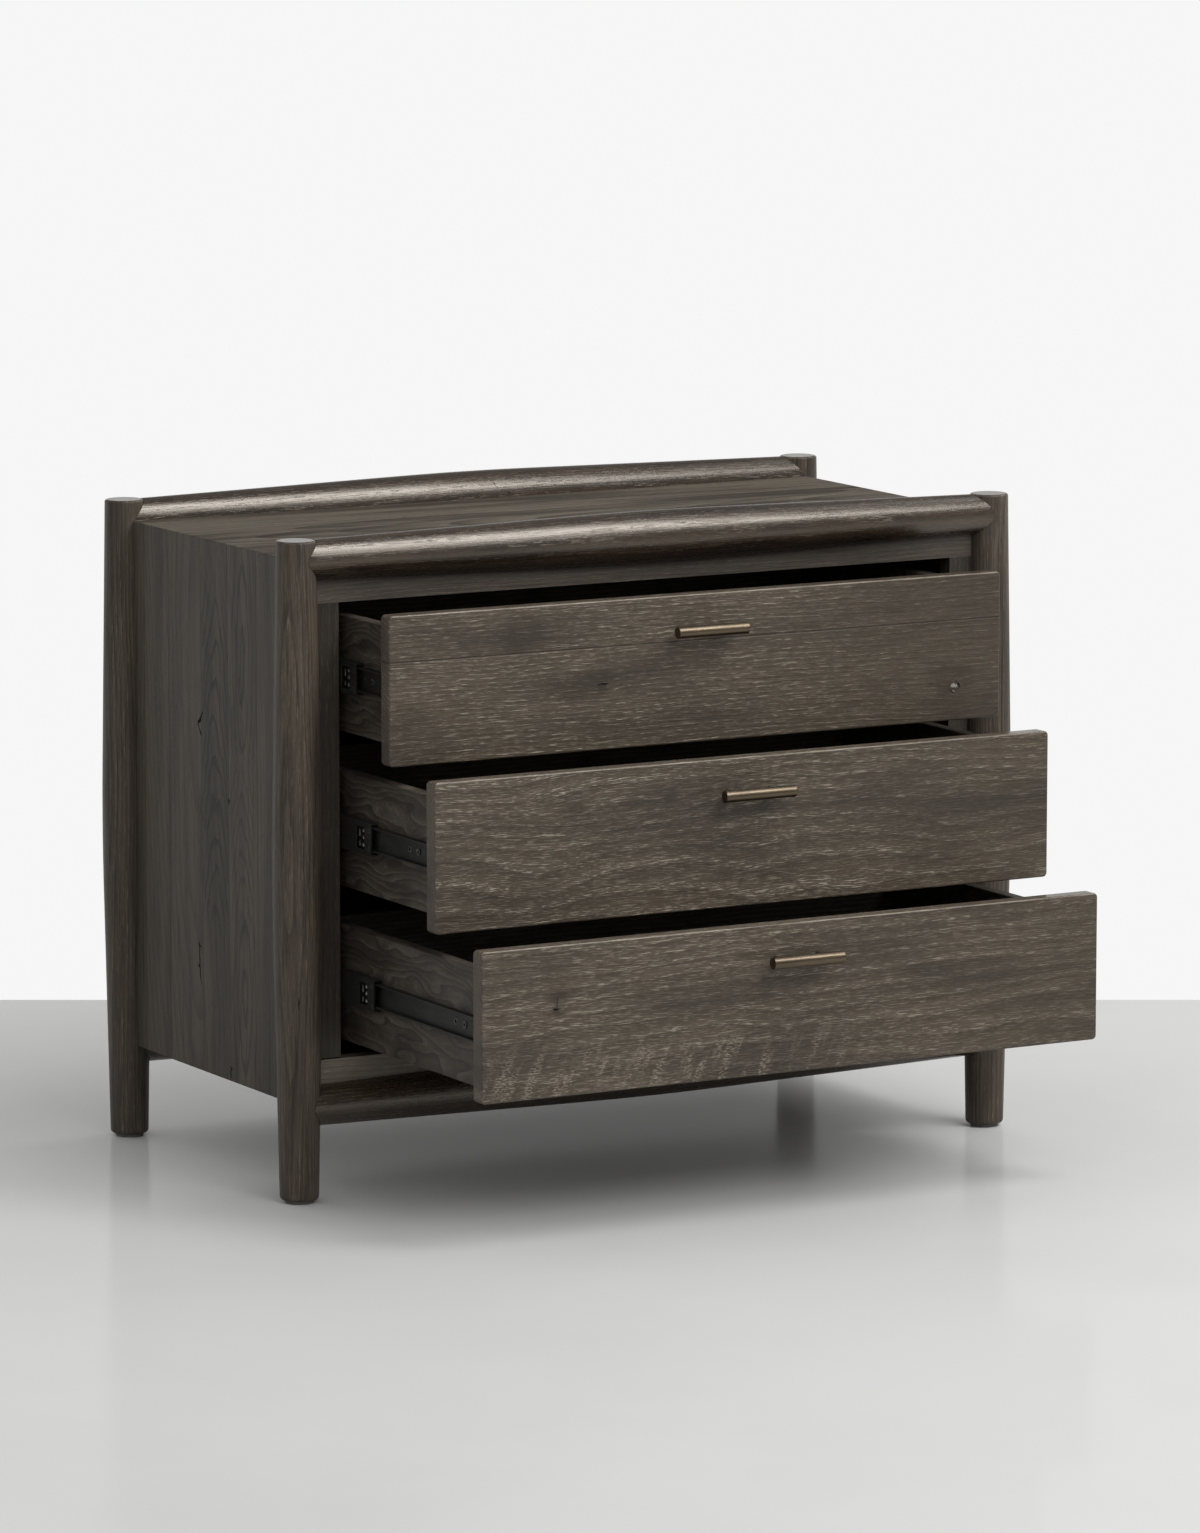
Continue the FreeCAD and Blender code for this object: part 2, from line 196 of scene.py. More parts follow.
def gluedBoards(tree, grain, v, looks):
    # the grain jumps at each glue line, and the lines themselves are given too
    past = []
    lines = []
    for seam in looks["seams"]:
        past.append(sums(tree, "GREATER_THAN", v, seam))
        away = sums(tree, "ABSOLUTE", sums(tree, "SUBTRACT", v, seam))
        lines.append(fade(tree, away, *looks["seamWidth"], 1.0, 0.0))
    pick = addNode(tree, "ShaderNodeTexWhiteNoise", noise_dimensions="1D")
    feed(tree, pick.inputs["W"], sums(tree, "ADD", joined(tree, "ADD", past), looks["boardSeed"]))
    step = vectors(tree, "SUBTRACT", pick.outputs["Color"], noiseMean)
    board = vectors(tree, "ADD", grain, vectors(tree, "MULTIPLY", step, looks["boardSpread"]))
    return board, joined(tree, "MAXIMUM", lines)


def knotField(tree, grain, looks):
    # dark patches with ragged edges, and how far they push the rings aside
    ragged = cloud(tree, grain, looks["knotRagSize"], detail=3.0, rough=0.6).outputs[0]
    ragged = fade(tree, ragged, *looks["knotRagCut"], -looks["knotRag"], looks["knotRag"])
    masks = []
    swells = []
    for along, across, halfLength, halfHeight, depth, push in looks["knots"]:
        away = vectors(tree, "SUBTRACT", grain, (along, across, 0.0))
        away = vectors(tree, "MULTIPLY", away, (1 / halfLength, 1 / halfHeight, 0.0))
        away = vectors(tree, "LENGTH", away)
        masks.append(fade(tree, sums(tree, "ADD", away, ragged), *looks["knotEdge"], depth, 0.0))
        near = fade(tree, away, 0.0, looks["bulgeReach"], 1.0, 0.0)
        swells.append(sums(tree, "MULTIPLY", near, push))
    return joined(tree, "MAXIMUM", masks), joined(tree, "ADD", swells)


def growthRings(tree, flow, bulge, looks):
    # early and late wood, by the distance from the pith
    reach = vectors(tree, "SUBTRACT", flow, looks["pith"])
    reach = vectors(tree, "LENGTH", vectors(tree, "MULTIPLY", reach, (looks["taper"], 1.0, 1.0)))
    if bulge is not None:
        reach = sums(tree, "ADD", reach, bulge)
    turn = sums(tree, "FRACT", sums(tree, "DIVIDE", reach, looks["ring"]))
    return fade(tree, turn, *looks["earlyCut"], 1.0, 0.0), fade(tree, turn, *looks["lateCut"])


def openPores(tree, flow, early, looks):
    # long and fine pores, most of them in the early wood
    pores = longCloud(tree, flow, looks["poreSize"]).outputs[0]
    pores = fade(tree, pores, *looks["poreCut"])
    fine = longCloud(tree, flow, looks["finePoreSize"], detail=1.0, shift=looks["finePoreShift"]).outputs[0]
    fine = fade(tree, fine, *looks["finePoreCut"], 0.0, looks["finePoreAmount"])
    pores = sums(tree, "MAXIMUM", pores, fine)
    return sums(tree, "MULTIPLY", pores, fade(tree, early, 0.0, 1.0, looks["poreFloor"], 1.0))


def sandedTop(tree, looks):
    # a flat top is sanded smoother than the rest
    level = axesOf(tree, objectSpace(tree))[2]
    start, full = (looks["cap"] - depth for depth in looks["capBand"])
    return fade(tree, level, start, full, 1.0, looks["capShare"])


def smokedOak(name, **changes):
    looks = {**oakLooks, **changes}
    finish, tree, shader = newFinish(name)
    grain, u, v = grainSpace(tree, looks["order"])
    board, seamLine = gluedBoards(tree, grain, v, looks) if looks["seams"] else (grain, None)
    knotMask, bulge = knotField(tree, grain, looks) if looks["knots"] else (None, None)
    drift = longCloud(tree, board, looks["wanderSize"], detail=1.0).outputs["Color"]
    drift = vectors(tree, "SUBTRACT", drift, noiseMean)
    drift = vectors(tree, "MULTIPLY", drift, (0.0, 2 * looks["wander"], 2 * looks["wander"]))
    flow = vectors(tree, "ADD", board, drift)

    early, late = growthRings(tree, flow, bulge, looks)
    pores = openPores(tree, flow, early, looks)
    patch = longCloud(tree, board, looks["patchSize"], detail=3.0, rough=0.55).outputs[0]
    patch = fade(tree, patch, *looks["patchCut"])
    streak = longCloud(tree, flow, looks["streakSize"], shift=looks["streakShift"]).outputs[0]
    streak = fade(tree, streak, *looks["streakCut"], 0.0, looks["streakAmount"])
    fibre = longCloud(tree, flow, looks["fibreSize"], detail=3.0, rough=0.6).outputs[0]

    tone = blendTone(tree, patch, looks["dark"], looks["base"])
    tone = blendTone(tree, sums(tree, "MULTIPLY", late, looks["lateAmount"]), tone, looks["late"])
    tone = blendTone(tree, streak, tone, looks["late"])
    shade = fade(tree, fibre, *looks["fibreCut"], *looks["fibreShade"])
    tone = blendTone(tree, looks["fibreAmount"], tone, shade, "MULTIPLY")
    limed = sums(tree, "MULTIPLY", pores, looks["limeAmount"])
    limed = sums(tree, "MAXIMUM", limed, sums(tree, "MULTIPLY", early, looks["ringLime"]))
    limed = sums(tree, "MULTIPLY", limed, fade(tree, patch, 0.0, 1.0, looks["patchLime"], 1.0))
    if "limeWane" in looks:
        start, end, left = looks["limeWane"]
        limed = sums(tree, "MULTIPLY", limed, fade(tree, u, start, end, 1.0, left))
    if knotMask is not None:
        limed = sums(tree, "MULTIPLY", limed, sums(tree, "SUBTRACT", 1.0, knotMask))
    tone = blendTone(tree, limed, tone, looks["lime"])
    if "flecks" in looks:
        tone = blendTone(tree, rayFlecks(tree, grain, u, v, looks["flecks"]), tone, looks["lime"])
    if "hearts" in looks:
        tone = blendTone(tree, heartLines(tree, grain, looks["hearts"]), tone, looks["late"])
    if knotMask is not None:
        tone = blendTone(tree, knotMask, tone, looks["knotTone"])
    if seamLine is not None:
        glue = sums(tree, "MULTIPLY", seamLine, looks["seamAmount"])
        tone = blendTone(tree, glue, tone, looks["knotTone"])
    # the top front edge painted paler: partly wear, partly a painted highlight
    if "arris" in looks:
        tone = blendTone(tree, arrisWearAndHighlight(tree, looks["arris"]), tone, looks["lime"])
    tree.links.new(tone, shader.inputs["Base Color"])

    dull = sums(tree, "ADD", sums(tree, "MULTIPLY", pores, 0.5), sums(tree, "MULTIPLY", fibre, 0.5))
    rough = fade(tree, dull, *looks["dullCut"], *looks["rough"])
    raised = sums(tree, "MULTIPLY", fibre, looks["fibreRelief"])
    height = sums(tree, "SUBTRACT", raised, sums(tree, "MULTIPLY", pores, looks["poreRelief"]))
    if seamLine is not None:
        height = sums(tree, "SUBTRACT", height, sums(tree, "MULTIPLY", seamLine, looks["seamRelief"]))
    if "cap" in looks:
        sanded = sandedTop(tree, looks)
        rough = sums(tree, "MULTIPLY", rough, sanded)
        height = sums(tree, "MULTIPLY", height, sums(tree, "MULTIPLY", sanded, sanded))
    tree.links.new(rough, shader.inputs["Roughness"])
    shader.inputs["Specular IOR Level"].default_value = looks["specular"]
    shader.inputs["Specular Tint"].default_value = (*looks["sheen"], 1.0)
    bumpFrom(tree, shader, height, looks["bump"])
    return finish


arrisWearAndHighlightLooks = {
    "band": (0.0006, 0.0018),          # from the edge, full and faded out
    "rubSize": (0.05, 0.05, 0.05),
    "rubCut": (0.35, 0.65),
    "amount": (0.12, 0.42),
}


def arrisWearAndHighlight(tree, edge):
    # the front top edge of a drawer, painted paler: partly worn by use, partly a painted highlight along
    # the rounded edge
    space = objectSpace(tree)
    axes = axesOf(tree, space)
    near, far = edge["band"]
    high = fade(tree, axes[2], edge["top"] - far, edge["top"] - near)
    out = fade(tree, axes[1], edge["face"] + near, edge["face"] + far, 1.0, 0.0)
    wearAndHighlight = cloud(tree, space, edge["rubSize"], detail=3.0, rough=0.6).outputs[0]
    wearAndHighlight = fade(tree, wearAndHighlight, *edge["rubCut"], *edge["amount"])
    return sums(tree, "MULTIPLY", sums(tree, "MULTIPLY", high, out), wearAndHighlight)


def rayFlecks(tree, grain, u, v, flecks):
    # slanting bands of small limed dashes, near one edge of the board
    across = sums(tree, "SUBTRACT", u, sums(tree, "MULTIPLY", v, flecks["slant"]))
    along = sums(tree, "ADD", v, sums(tree, "MULTIPLY", u, flecks["slant"]))
    leaning = addNode(tree, "ShaderNodeCombineXYZ", {0: across, 1: along, 2: 0.0}).outputs[0]
    bands = cloud(tree, leaning, flecks["bandSize"], detail=1.0).outputs[0]
    bands = fade(tree, bands, *flecks["bandCut"])
    dashes = cloud(tree, grain, flecks["dashSize"], detail=2.0, rough=0.6).outputs[0]
    dashes = fade(tree, dashes, *flecks["dashCut"])
    spots = sums(tree, "MULTIPLY", sums(tree, "MULTIPLY", bands, dashes), flecks["amount"])
    top = fade(tree, v, *flecks["top"], 1.0, 0.0)
    right = fade(tree, u, *flecks["right"], 1.0, 0.0)
    return sums(tree, "MULTIPLY", spots, sums(tree, "MULTIPLY", top, right))


heartLooks = {
    "wobbleSize": (0.110, 0.030, 1.0),
    "wobbleCut": (0.2, 0.8),
    "lineRise": (0.60, 0.90),          # within a ring: a line swells slowly and ends sharply
    "lineFall": (0.93, 1.0),
    "sideFade": 0.88,                  # shares of the half width and of the reach
    "endFade": 0.7,
}


def heartLines(tree, grain, hearts):
    # thin dark lines of flat-sawn heart boards: arches where the rings lean, loops where they swell
    wobble = cloud(tree, grain, heartLooks["wobbleSize"], detail=3.0, rough=0.55).outputs[0]
    wobble = fade(tree, wobble, *heartLooks["wobbleCut"], -1.0, 1.0)
    lines = []
    for heart in hearts:
        away = vectors(tree, "SUBTRACT", grain, heart["pith"])
        along, aside = axesOf(tree, away)[:2]
        distance = vectors(tree, "MULTIPLY", away, (heart["swell"], 1.0, 0.0))
        distance = vectors(tree, "LENGTH", vectors(tree, "ADD", distance, (0.0, 0.0, heart["depth"])))
        distance = sums(tree, "ADD", distance, sums(tree, "MULTIPLY", along, heart["lean"]))
        distance = sums(tree, "ADD", distance, sums(tree, "MULTIPLY", wobble, heart["wobble"]))
        turn = sums(tree, "FRACT", sums(tree, "DIVIDE", distance, heart["ring"]))
        rise = fade(tree, turn, *heartLooks["lineRise"])
        line = sums(tree, "MULTIPLY", rise, fade(tree, turn, *heartLooks["lineFall"], 1.0, 0.0))
        half = heart["half"]
        aside = sums(tree, "ABSOLUTE", aside)
        inside = fade(tree, aside, heartLooks["sideFade"] * half, half, heart["amount"], 0.0)
        reach = heart["reach"]
        along = sums(tree, "ABSOLUTE", along)
        ends = fade(tree, along, heartLooks["endFade"] * reach, reach, 1.0, 0.0)
        lines.append(sums(tree, "MULTIPLY", line, sums(tree, "MULTIPLY", inside, ends)))
    return joined(tree, "MAXIMUM", lines)


def finishNodes(finish, *names):
    for name in names:
        materials = nodes[name].data.materials
        materials.clear()
        materials.append(finish)


# drawer fronts

frontLooks = {
    "top": {
        "seams": (0.5475,),
        "knots": (
            (-0.113, 0.5108, 0.016, 0.008, 0.85, 0.006),
            (-0.128, 0.5108, 0.066, 0.018, 0.52, 0.000),
            (-0.202, 0.5636, 0.038, 0.036, 0.42, 0.000),
            (0.2957, 0.4800, 0.013, 0.012, 0.85, 0.004),
            (0.2850, 0.4870, 0.048, 0.032, 0.60, 0.003),
            (0.3200, 0.5640, 0.060, 0.022, 0.28, 0.000),
            (0.3000, 0.5300, 0.260, 0.170, 0.31, 0.000),
            (-0.330, 0.4900, 0.044, 0.020, 0.36, 0.000),
        ),
    },
    "middle": {
        "pith": (-0.28, 0.235, 0.05),
        "taper": 0.10,
        "wander": 0.008,
        "poreFloor": 0.42,
        "limeAmount": 0.92,
        "knots": (
            (-0.197, 0.405, 0.020, 0.011, 0.50, 0.002),
            (-0.088, 0.410, 0.016, 0.009, 0.46, 0.002),
            (0.210, 0.330, 0.060, 0.016, 0.26, 0.000),
        ),
    },
    "bottom": {
        "pith": (0.40, 0.05, 0.05),
        "poreFloor": 0.50,
        "limeAmount": 0.76,
        "knots": (
            (-0.268, 0.229, 0.010, 0.011, 0.75, 0.004),
            (-0.266, 0.240, 0.012, 0.020, 0.50, 0.000),
        ),
        "flecks": {
            "bandSize": (0.012, 0.060, 1.0),
            "bandCut": (0.46, 0.62),
            "dashSize": (0.0042, 0.0013, 0.0013),
            "dashCut": (0.47, 0.62),
            "slant": 0.45,
            "top": (0.166, 0.204),         # where they thin out upwards, and to the right
            "right": (-0.02, 0.14),
            "amount": 0.46,
        },
    },
}
limeWane = (0.05, 0.30, 0.55)          # along the front: from here to there, and what is left
for drawer in drawers:
    front = drawer + "_drawer_front"
    low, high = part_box(front)
    edge = {**arrisWearAndHighlightLooks, "top": high.z, "face": low.y}
    looks = {**frontLooks[drawer], "limeWane": limeWane, "arris": edge, "cap": high.z}
    finishNodes(smokedOak("limedOak." + drawer + "Front", **looks), front)
print("drawer fronts finished")


# cabinet panels, frame strips and drawer boxes

panelLooks = {
    "base": (0.062, 0.050, 0.037),
    "dark": (0.037, 0.030, 0.024),
    "late": (0.026, 0.021, 0.017),
    "lime": (0.105, 0.090, 0.072),
    "limeAmount": 0.30,
    "ringLime": 0.10,
    "patchSize": (0.40, 0.035),
    "streakAmount": 0.75,
    "ring": 0.0062,
    "lateAmount": 0.55,
    "rough": (0.50, 0.60),
    "specular": 0.22,
}
sideTones = {**panelLooks, "streakAmount": 0.45, "lateAmount": 0.30, "late": (0.009, 0.008, 0.007)}
sideSeams = (-0.106, -0.042, 0.018, 0.092, 0.148)
sideHearts = (
    {"pith": (0.42, -0.012, 0.0), "half": 0.030, "reach": 0.20, "swell": 0.0, "depth": 0.014, "lean": 0.20,
     "ring": 0.0078, "wobble": 0.0040, "amount": 0.80},
    {"pith": (0.53, -0.074, 0.0), "half": 0.029, "reach": 0.12, "swell": 0.17, "depth": 0.004, "lean": 0.0,
     "ring": 0.0078, "wobble": 0.0032, "amount": 0.70},
    {"pith": (0.34, -0.072, 0.0), "half": 0.026, "reach": 0.09, "swell": 0.0, "depth": 0.010, "lean": 0.30,
     "ring": 0.0085, "wobble": 0.0042, "amount": 0.55},
    {"pith": (0.19, -0.076, 0.0), "half": 0.029, "reach": 0.10, "swell": 0.18, "depth": 0.004, "lean": 0.0,
     "ring": 0.0085, "wobble": 0.0036, "amount": 0.60},
)
sideOak = smokedOak("smokedOak.side", order="zyx", seams=sideSeams, seamAmount=0.3, boardSeed=8.0,
                    pith=(0.33, 0.00, -0.34), taper=0.14, hearts=sideHearts, **sideTones)
finishNodes(sideOak, "left_side_panel", "right_side_panel")
topTones = {**panelLooks, "base": (0.079, 0.069, 0.054), "lime": (0.180, 0.158, 0.128), "limeAmount": 0.60,
            "rough": (0.72, 0.84), "specular": 0.04}
topOak = smokedOak("smokedOak.top", order="xyz", seams=(-0.085, 0.022, 0.118), seamAmount=0.2,
                   pith=(0.1, 0.02, 0.56), **topTones)
finishNodes(topOak, "top_panel", "bottom_panel")
backOak = smokedOak("smokedOak.back", order="zxy", seams=(-0.19, 0.0, 0.19), seamAmount=0.4,
                    pith=(0.2, 0.05, 0.12), **panelLooks)
finishNodes(backOak, "back_panel")

stripTones = {"base": (0.058, 0.048, 0.037), "dark": (0.042, 0.035, 0.028), "lime": (0.13, 0.115, 0.093),
              "limeAmount": 0.60}
# the bottom strip gets about twice the tone of the top strip's wood: painted light that lifts the shade it
# sits in
paintedLightLowStripTones = {"base": (0.120, 0.099, 0.075), "dark": (0.086, 0.071, 0.055), "lime": (0.26, 0.23, 0.185),
                 "limeAmount": 0.60}
# the stiles get a far darker tone than the rest of the frame wood: painted shade
shadedStileTones = {"base": (0.024, 0.019, 0.014), "dark": (0.016, 0.013, 0.010), "lime": (0.08, 0.069, 0.055),
              "limeAmount": 0.50}
finishNodes(smokedOak("smokedOak.strip", order="xzy", **stripTones), "face_top_strip")
finishNodes(smokedOak("smokedOak.lowStripPaintedLight", order="xzy", **paintedLightLowStripTones), "face_bottom_strip")
finishNodes(smokedOak("smokedOak.shadedStile", order="zxy", **shadedStileTones), "left_stile", "right_stile")

boxTones = {
    "base": (0.050, 0.041, 0.032),
    "dark": (0.029, 0.024, 0.019),
    "late": (0.016, 0.013, 0.011),
    "lime": (0.160, 0.139, 0.113),
    "limeAmount": 0.50,
    "ringLime": 0.17,
    "lateAmount": 0.60,
    "patchSize": (0.07, 0.020),
    "specular": 0.22,
}
boxSide = smokedOak("smokedOak.boxSide", order="yzx", pith=(-0.28, 0.16, -0.295), taper=0.24, ring=0.0085,
                    wander=0.026, wanderSize=(0.085, 0.030), **boxTones)
boxBack = smokedOak("smokedOak.boxBack", order="xzy", **boxTones)
boxBase = smokedOak("smokedOak.boxBase", order="xyz", ring=0.009, **boxTones)
battenOak = smokedOak("smokedOak.batten", order="yzx", **boxTones)
for drawer in drawers:
    finishNodes(boxSide, drawer + "_drawer_left_side", drawer + "_drawer_right_side")
    finishNodes(boxBack, drawer + "_drawer_back")
    finishNodes(boxBase, drawer + "_drawer_base")
finishNodes(battenOak, "left_slide_battens", "right_slide_battens")
finishNodes(smokedOak("oak.dowel", order="xyz", base=(0.30, 0.21, 0.12), dark=(0.20, 0.14, 0.08),
                      lime=(0.36, 0.27, 0.17)), "rail_dowels")
print("panels, frame and drawer boxes finished")


# turned legs and rails

turnedTones = {
    "base": (0.057, 0.045, 0.033),
    "dark": (0.037, 0.029, 0.022),
    "late": (0.016, 0.012, 0.009),
    "lime": (0.155, 0.132, 0.102),
    "limeAmount": 0.50,
    "patchSize": (0.20, 0.014),
    "fibreAmount": 0.80,
    "poreSize": (0.018, 0.0011),
    "streakAmount": 0.6,
    "ring": 0.0036,
    "rough": (0.44, 0.56),
    "specular": 0.24,
}
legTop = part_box("front_left_leg")[1].z
legOak = smokedOak("smokedOak.leg", order="zxy", pith=(0.3, 0.02, 0.16), wander=0.004, cap=legTop,
                   **turnedTones)
railTones = {
    **turnedTones,
    "base": (0.024, 0.015, 0.009),
    "dark": (0.013, 0.008, 0.006),
    "lime": (0.100, 0.080, 0.058),
    "limeAmount": 0.34,
    "rough": (0.25, 0.36),
    "specular": 1.0,
    "sheen": (1.0, 0.92, 0.82),
    "bump": 0.00020,
}
railOak = smokedOak("smokedOak.rail", order="xzy", pith=(0.2, 0.60, 0.02), wander=0.004, **railTones)
finishNodes(legOak, "front_left_leg", "front_right_leg", "back_left_leg", "back_right_leg")
finishNodes(railOak, "top_front_rail", "top_back_rail", "bottom_front_rail", "bottom_back_rail")
print("legs and rails finished")


# metal and plastic

metalLooks = {
    "scratchCut": (0.3, 0.7),
    "scratchShade": (0.75, 1.2),       # the tone times this, along the scratches
    "scratchAmount": 0.5,
}


def metal(name, changes):
    looks = {**metalLooks, **changes}
    finish, tree, shader = newFinish(name)
    space = objectSpace(tree)
    smudge = cloud(tree, space, looks["smudgeSize"], detail=4.0, rough=0.6).outputs[0]
    scratch = cloud(tree, space, looks["scratchSize"], detail=3.0, rough=0.6).outputs[0]
    tone = blendTone(tree, fade(tree, smudge, *looks["smudgeCut"]), looks["tone"], looks["worn"])
    shade = fade(tree, scratch, *looks["scratchCut"], *looks["scratchShade"])
    tone = blendTone(tree, looks["scratchAmount"], tone, shade, "MULTIPLY")
    tree.links.new(tone, shader.inputs["Base Color"])
    rough = fade(tree, scratch, *looks["scratchCut"], *looks["rough"])
    tree.links.new(rough, shader.inputs["Roughness"])
    shader.inputs["Metallic"].default_value = looks["metallic"]
    shader.inputs["Specular IOR Level"].default_value = looks["specular"]
    bumpFrom(tree, shader, scratch, looks["bump"])
    return finish


bronzeLooks = {
    "tone": (0.140, 0.110, 0.077),
    "worn": (0.104, 0.081, 0.056),
    "smudgeSize": (0.040, 0.014, 0.014),
    "smudgeCut": (0.40, 0.75),
    "scratchSize": (0.030, 0.0010, 0.0010),
    "rough": (0.31, 0.37),
    "metallic": 1.0,
    "specular": 0.5,
    "bump": 0.00001,
}
# black finish, its tone darkened further: painted shade of the cabinet opening the slides sit in
blackAndShadedSlideLooks = {
    "tone": (0.012, 0.012, 0.011),
    "worn": (0.021, 0.021, 0.019),
    "smudgeSize": (0.03, 0.05, 0.02),
    "smudgeCut": (0.45, 0.75),
    "scratchSize": (0.0008, 0.03, 0.0008),
    "rough": (0.42, 0.56),
    "metallic": 0.0,
    "specular": 0.26,
    "bump": 0.00003,
}
steelLooks = {
    "tone": (0.42, 0.42, 0.41),
    "worn": (0.22, 0.22, 0.22),
    "smudgeSize": (0.006, 0.006, 0.006),
    "smudgeCut": (0.45, 0.75),
    "scratchSize": (0.0008, 0.004, 0.0008),
    "rough": (0.24, 0.38),
    "metallic": 1.0,
    "specular": 0.5,
    "bump": 0.00003,
}
bronze = metal("agedBronze", bronzeLooks)
blackAndShadedSlide = metal("blackSlideSteel", blackAndShadedSlideLooks)
# the slide screws keep that darkened tone: black finish and painted shade
blackAndShadedScrew = metal("blackScrewSteel", {**blackAndShadedSlideLooks, "worn": (0.10, 0.10, 0.10),
                                       "smudgeSize": (0.004, 0.004, 0.004)})
cageSteel = metal("cageSteel", {**steelLooks, "tone": (0.085, 0.085, 0.084), "worn": (0.040, 0.040, 0.040)})
ballSteel = metal("ballSteel", {**steelLooks, "tone": (0.24, 0.24, 0.23), "worn": (0.12, 0.12, 0.115)})
screwSteel = metal("screwSteel", {**steelLooks, "tone": (0.32, 0.31, 0.29)})
for drawer in drawers:
    finishNodes(bronze, drawer + "_pull_bar", drawer + "_pull_posts")
    finishNodes(screwSteel, drawer + "_pull_screws")
    finishNodes(blackAndShadedSlide, drawer + "_inner_slide_members", drawer + "_intermediate_slide_members")
    finishNodes(blackAndShadedScrew, drawer + "_slide_screws")
    finishNodes(cageSteel, drawer + "_ball_cages")
finishNodes(blackAndShadedSlide, "cabinet_slide_members")
finishNodes(blackAndShadedScrew, "cabinet_slide_screws")

glideLooks = {
    "tone": (0.090, 0.086, 0.080),
    "grit": (0.050, 0.048, 0.045),
    "gritSize": (0.003, 0.003, 0.003),
    "gritNoise": (4.0, 0.65),          # detail and roughness of the noise
    "gritCut": (0.4, 0.75),
    "rough": (0.42, 0.60),
    "roughCut": (0.3, 0.7),
    "specular": 0.5,
    "bump": 0.0001,
}


def grittyFinish(name, looks):
    # plastic or resin with grit in it
    finish, tree, shader = newFinish(name)
    grit = cloud(tree, objectSpace(tree), looks["gritSize"], *looks["gritNoise"]).outputs[0]
    tone = blendTone(tree, fade(tree, grit, *looks["gritCut"]), looks["tone"], looks["grit"])
    tree.links.new(tone, shader.inputs["Base Color"])
    tree.links.new(fade(tree, grit, *looks["roughCut"], *looks["rough"]), shader.inputs["Roughness"])
    shader.inputs["Specular IOR Level"].default_value = looks["specular"]
    bumpFrom(tree, shader, grit, looks["bump"])
    return finish


finishNodes(grittyFinish("glidePlastic", glideLooks), "leg_glides")
print("metal and glides finished")


# checks and knots in the oak, as slivers that stand a hair proud: near-black painted shade inside the open
# checks, dark filler in the knots, and pale filler in one knot

fillerLooks = {
    "gritSize": (0.0016, 0.0016, 0.0016),
    "gritNoise": (3.0, 0.6),
    "gritCut": (0.42, 0.70),
    "roughCut": (0.3, 0.7),
}
# near black: dark filler in the knots, and painted shade in the open checks and in the screw recesses
darkFillAndShadeLooks = {
    **fillerLooks,
    "tone": (0.0030, 0.0026, 0.0022),
    "grit": (0.0090, 0.0075, 0.0060),
    "rough": (0.60, 0.80),
    "specular": 0.06,
    "bump": 0.00008,
}
paleFillerLooks = {
    **fillerLooks,
    "tone": (0.215, 0.200, 0.172),
    "grit": (0.085, 0.078, 0.064),
    "rough": (0.50, 0.70),
    "specular": 0.25,
    "bump": 0.00010,
}
darkFillAndShade = grittyFinish("darkFiller", darkFillAndShadeLooks)
paleFill = grittyFinish("paleFiller", paleFillerLooks)


def addPiece(name, mesh, body, finish, smooth=True):
    made = bpy.data.meshes.new(name)
    bmesh.ops.recalc_face_normals(mesh, faces=mesh.faces)
    mesh.to_mesh(made)
    mesh.free()
    made.materials.append(finish)
    for face in made.polygons:
        face.use_smooth = smooth
    piece = bpy.data.objects.new(name, made)
    bpy.context.scene.collection.objects.link(piece)
    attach(piece, body)


def boardSurface(*names):
    corners = []
    faces = []
    for name in names:
        data = nodes[name].data
        start = len(corners)
        corners += [vertex.co.copy() for vertex in data.vertices]
        faces += [[start + index for index in face.vertices] for face in data.polygons]
    return BVHTree.FromPolygons(corners, faces)


sliverLooks = {
    "steps": 14,
    "ridge": 0.00014,                  # height over the wood
    "sunk": 0.00010,                   # depth of the edges under it
    "widths": (0.65, 1.15),            # of the half width, drawn for each step
    "sway": 0.35,
}


def pressSliver(mesh, surface, mark, dice, looks):
    # a lens along the mark's path, its edges just under the wood and its ridge just over it
    path = [Vector(point) for point in mark["path"]]
    spans = [(later - earlier).length for earlier, later in zip(path, path[1:])]
    steps = looks["steps"]
    rows = []
    for step in range(steps + 1):
        reach = sum(spans) * step / steps
        leg = 0
        while leg < len(spans) - 1 and reach > spans[leg]:
            reach -= spans[leg]
            leg += 1
        heading = (path[leg + 1] - path[leg]).normalized()
        spot, normal = surface.find_nearest(path[leg] + heading * reach)[:2]
        aside = normal.cross(heading).normalized()
        swell = math.sin(math.pi * step / steps) ** mark["blunt"]
        width = mark["halfWidth"] * swell * dice.uniform(*looks["widths"])
        spot = spot + aside * mark["halfWidth"] * dice.uniform(-looks["sway"], looks["sway"])
        ridge = spot + normal * looks["ridge"] * swell
        sunk = spot - normal * looks["sunk"]
        corners = (sunk - aside * width, ridge, sunk + aside * width)
        rows.append([mesh.verts.new(corner) for corner in corners])
    for first, second in zip(rows, rows[1:]):
        for side in (0, 1):
            mesh.faces.new((first[side], first[side + 1], second[side + 1], second[side]))


def layCheckShadesAndFills(name, looks):
    dice = random.Random(name)
    mesh = bmesh.new()
    surface = boardSurface(*looks["boards"])
    for mark in looks["marks"]:
        pressSliver(mesh, surface, mark, dice, sliverLooks)
    addPiece(name, mesh, looks["body"], looks["finish"])


def check(*path, halfWidth=0.0006, blunt=0.6):
    return {"path": path, "halfWidth": halfWidth, "blunt": blunt}


def flatCheck(face, *path, **widths):
    # on a flat face, by the face's own two coordinates
    axis, at = face
    return check(*[point[:axis] + (at,) + point[axis:] for point in path], **widths)


